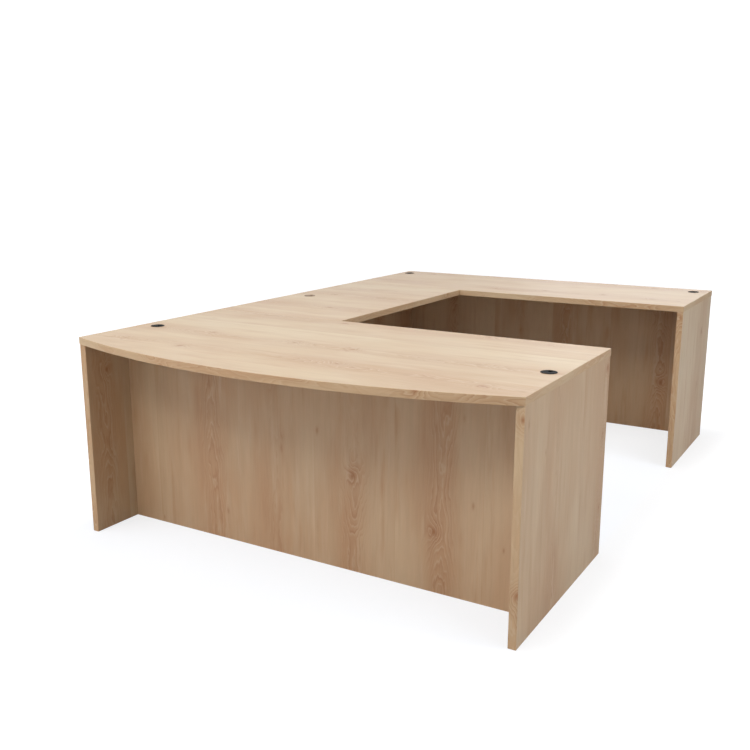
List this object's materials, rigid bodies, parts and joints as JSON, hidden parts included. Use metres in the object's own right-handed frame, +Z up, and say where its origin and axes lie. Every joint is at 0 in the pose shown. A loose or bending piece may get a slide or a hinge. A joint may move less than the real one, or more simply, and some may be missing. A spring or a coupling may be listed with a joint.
{
  "type": "u-shaped bow-front teacher desk",
  "caption": "U-shaped workstation desk in pale maple woodgrain laminate: bow-front desk with full-height panels, a bridge, a credenza, and round black cable grommets.",
  "frame": {"origin": "middle of the footprint, on the floor", "axes": "+Z up; -Y towards the visitor's bowed side; +X to the right seen from there, where the bay opens; the bridge is on the -X side"},
  "size_m": [1.6764, 2.578, 0.7321],
  "materials": {
    "laminate": "satin woodgrain laminate on particleboard",
    "edge_band": "satin woodgrain edge band",
    "black_plastic": "fine matt moulded plastic",
    "taupe_plastic": "fine matt moulded plastic",
    "glide_nylon": "matt moulded nylon",
    "zinc_steel": "bright zinc plate"
  },
  "bodies": {
    "frame": {"desk_top": "laminate", "desk_top_band_front": "edge_band", "desk_top_band_rear": "edge_band", "desk_top_band_left": "edge_band", "desk_top_band_right": "edge_band", "bridge_top": "laminate", "bridge_top_band_front": "edge_band", "bridge_top_band_rear": "edge_band", "bridge_top_band_left": "edge_band", "bridge_top_band_right": "edge_band", "credenza_top": "laminate", "credenza_top_band_front": "edge_band", "credenza_top_band_rear": "edge_band", "credenza_top_band_left": "edge_band", "credenza_top_band_right": "edge_band", "desk_end_panel_left": "laminate", "desk_end_panel_left_band_front": "edge_band", "desk_end_panel_left_band_rear": "edge_band", "desk_end_panel_right": "laminate", "desk_end_panel_right_band_front": "edge_band", "desk_end_panel_right_band_rear": "edge_band", "credenza_end_panel_left": "laminate", "credenza_end_panel_left_band_front": "edge_band", "credenza_end_panel_left_band_rear": "edge_band", "credenza_end_panel_right": "laminate", "credenza_end_panel_right_band_front": "edge_band", "credenza_end_panel_right_band_rear": "edge_band", "desk_modesty_panel": "laminate", "bridge_modesty_panel": "laminate", "credenza_back_panel": "laminate", "desk_grommet_left_sleeve": "black_plastic", "desk_grommet_right_sleeve": "black_plastic", "bridge_grommet_sleeve": "taupe_plastic", "credenza_grommet_left_sleeve": "black_plastic", "credenza_grommet_right_sleeve": "black_plastic", "desk_seam_plate_outer": "zinc_steel", "desk_seam_plate_inner": "zinc_steel", "credenza_seam_plate_outer": "zinc_steel", "credenza_seam_plate_inner": "zinc_steel"},
    "desk_grommet_left_cap": {"desk_grommet_left_cap": "black_plastic"},
    "desk_grommet_right_cap": {"desk_grommet_right_cap": "black_plastic"},
    "bridge_grommet_cap": {"bridge_grommet_cap": "taupe_plastic"},
    "credenza_grommet_left_cap": {"credenza_grommet_left_cap": "black_plastic"},
    "credenza_grommet_right_cap": {"credenza_grommet_right_cap": "black_plastic"},
    "desk_glide_left_front_pad": {"desk_glide_left_front_pad": "glide_nylon"},
    "desk_glide_left_front_stem": {"desk_glide_left_front_stem": "zinc_steel"},
    "desk_glide_left_rear_pad": {"desk_glide_left_rear_pad": "glide_nylon"},
    "desk_glide_left_rear_stem": {"desk_glide_left_rear_stem": "zinc_steel"},
    "desk_glide_right_front_pad": {"desk_glide_right_front_pad": "glide_nylon"},
    "desk_glide_right_front_stem": {"desk_glide_right_front_stem": "zinc_steel"},
    "desk_glide_right_rear_pad": {"desk_glide_right_rear_pad": "glide_nylon"},
    "desk_glide_right_rear_stem": {"desk_glide_right_rear_stem": "zinc_steel"},
    "credenza_glide_left_front_pad": {"credenza_glide_left_front_pad": "glide_nylon"},
    "credenza_glide_left_front_stem": {"credenza_glide_left_front_stem": "zinc_steel"},
    "credenza_glide_left_rear_pad": {"credenza_glide_left_rear_pad": "glide_nylon"},
    "credenza_glide_left_rear_stem": {"credenza_glide_left_rear_stem": "zinc_steel"},
    "credenza_glide_right_front_pad": {"credenza_glide_right_front_pad": "glide_nylon"},
    "credenza_glide_right_front_stem": {"credenza_glide_right_front_stem": "zinc_steel"},
    "credenza_glide_right_rear_pad": {"credenza_glide_right_rear_pad": "glide_nylon"},
    "credenza_glide_right_rear_stem": {"credenza_glide_right_rear_stem": "zinc_steel"}
  },
  "joints": [
    {"name": "desk_grommet_left_cap_turn", "type": "hinge", "parent": "frame", "child": "desk_grommet_left_cap", "pos_m": [-0.762, -0.8382, 0.73025], "axis": [0, 0, 1], "continuous": true},
    {"name": "desk_grommet_right_cap_turn", "type": "hinge", "parent": "frame", "child": "desk_grommet_right_cap", "pos_m": [0.7874, -0.8382, 0.73025], "axis": [0, 0, 1], "continuous": true},
    {"name": "bridge_grommet_cap_turn", "type": "hinge", "parent": "frame", "child": "bridge_grommet_cap", "pos_m": [-0.74041, 0.13462, 0.73025], "axis": [0, 0, 1], "continuous": true},
    {"name": "credenza_grommet_left_cap_turn", "type": "hinge", "parent": "frame", "child": "credenza_grommet_left_cap", "pos_m": [-0.78232, 1.18364, 0.73025], "axis": [0, 0, 1], "continuous": true},
    {"name": "credenza_grommet_right_cap_turn", "type": "hinge", "parent": "frame", "child": "credenza_grommet_right_cap", "pos_m": [0.77216, 1.18364, 0.73025], "axis": [0, 0, 1], "continuous": true},
    {"name": "desk_glide_left_front_travel", "type": "slide", "parent": "frame", "child": "desk_glide_left_front_pad", "axis": [0, 0, -1], "range_m": [0, 0.012]},
    {"name": "desk_glide_left_front_turn", "type": "hinge", "parent": "desk_glide_left_front_pad", "child": "desk_glide_left_front_stem", "pos_m": [-0.8245, -1.08485, 0], "axis": [0, 0, -1], "range_deg": [0, 3460]},
    {"name": "desk_glide_left_rear_travel", "type": "slide", "parent": "frame", "child": "desk_glide_left_rear_pad", "axis": [0, 0, -1], "range_m": [0, 0.012]},
    {"name": "desk_glide_left_rear_turn", "type": "hinge", "parent": "desk_glide_left_rear_pad", "child": "desk_glide_left_rear_stem", "pos_m": [-0.8245, -0.45185, 0], "axis": [0, 0, -1], "range_deg": [0, 3460]},
    {"name": "desk_glide_right_front_travel", "type": "slide", "parent": "frame", "child": "desk_glide_right_front_pad", "axis": [0, 0, -1], "range_m": [0, 0.012]},
    {"name": "desk_glide_right_front_turn", "type": "hinge", "parent": "desk_glide_right_front_pad", "child": "desk_glide_right_front_stem", "pos_m": [0.8245, -1.08485, 0], "axis": [0, 0, -1], "range_deg": [0, 3460]},
    {"name": "desk_glide_right_rear_travel", "type": "slide", "parent": "frame", "child": "desk_glide_right_rear_pad", "axis": [0, 0, -1], "range_m": [0, 0.012]},
    {"name": "desk_glide_right_rear_turn", "type": "hinge", "parent": "desk_glide_right_rear_pad", "child": "desk_glide_right_rear_stem", "pos_m": [0.8245, -0.45185, 0], "axis": [0, 0, -1], "range_deg": [0, 3460]},
    {"name": "credenza_glide_left_front_travel", "type": "slide", "parent": "frame", "child": "credenza_glide_left_front_pad", "axis": [0, 0, -1], "range_m": [0, 0.012]},
    {"name": "credenza_glide_left_front_turn", "type": "hinge", "parent": "credenza_glide_left_front_pad", "child": "credenza_glide_left_front_stem", "pos_m": [-0.8245, 0.74395, 0], "axis": [0, 0, -1], "range_deg": [0, 3460]},
    {"name": "credenza_glide_left_rear_travel", "type": "slide", "parent": "frame", "child": "credenza_glide_left_rear_pad", "axis": [0, 0, -1], "range_m": [0, 0.012]},
    {"name": "credenza_glide_left_rear_turn", "type": "hinge", "parent": "credenza_glide_left_rear_pad", "child": "credenza_glide_left_rear_stem", "pos_m": [-0.8245, 1.22455, 0], "axis": [0, 0, -1], "range_deg": [0, 3460]},
    {"name": "credenza_glide_right_front_travel", "type": "slide", "parent": "frame", "child": "credenza_glide_right_front_pad", "axis": [0, 0, -1], "range_m": [0, 0.012]},
    {"name": "credenza_glide_right_front_turn", "type": "hinge", "parent": "credenza_glide_right_front_pad", "child": "credenza_glide_right_front_stem", "pos_m": [0.8245, 0.74395, 0], "axis": [0, 0, -1], "range_deg": [0, 3460]},
    {"name": "credenza_glide_right_rear_travel", "type": "slide", "parent": "frame", "child": "credenza_glide_right_rear_pad", "axis": [0, 0, -1], "range_m": [0, 0.012]},
    {"name": "credenza_glide_right_rear_turn", "type": "hinge", "parent": "credenza_glide_right_rear_pad", "child": "credenza_glide_right_rear_stem", "pos_m": [0.8245, 1.22455, 0], "axis": [0, 0, -1], "range_deg": [0, 3460]}
  ],
  "couplings": [
    {"joint": "desk_glide_left_front_turn", "follows": "desk_glide_left_front_travel", "rad_per_m": 5026.5},
    {"joint": "desk_glide_left_rear_turn", "follows": "desk_glide_left_rear_travel", "rad_per_m": 5026.5},
    {"joint": "desk_glide_right_front_turn", "follows": "desk_glide_right_front_travel", "rad_per_m": 5026.5},
    {"joint": "desk_glide_right_rear_turn", "follows": "desk_glide_right_rear_travel", "rad_per_m": 5026.5},
    {"joint": "credenza_glide_left_front_turn", "follows": "credenza_glide_left_front_travel", "rad_per_m": 5026.5},
    {"joint": "credenza_glide_left_rear_turn", "follows": "credenza_glide_left_rear_travel", "rad_per_m": 5026.5},
    {"joint": "credenza_glide_right_front_turn", "follows": "credenza_glide_right_front_travel", "rad_per_m": 5026.5},
    {"joint": "credenza_glide_right_rear_turn", "follows": "credenza_glide_right_rear_travel", "rad_per_m": 5026.5}
  ]
}
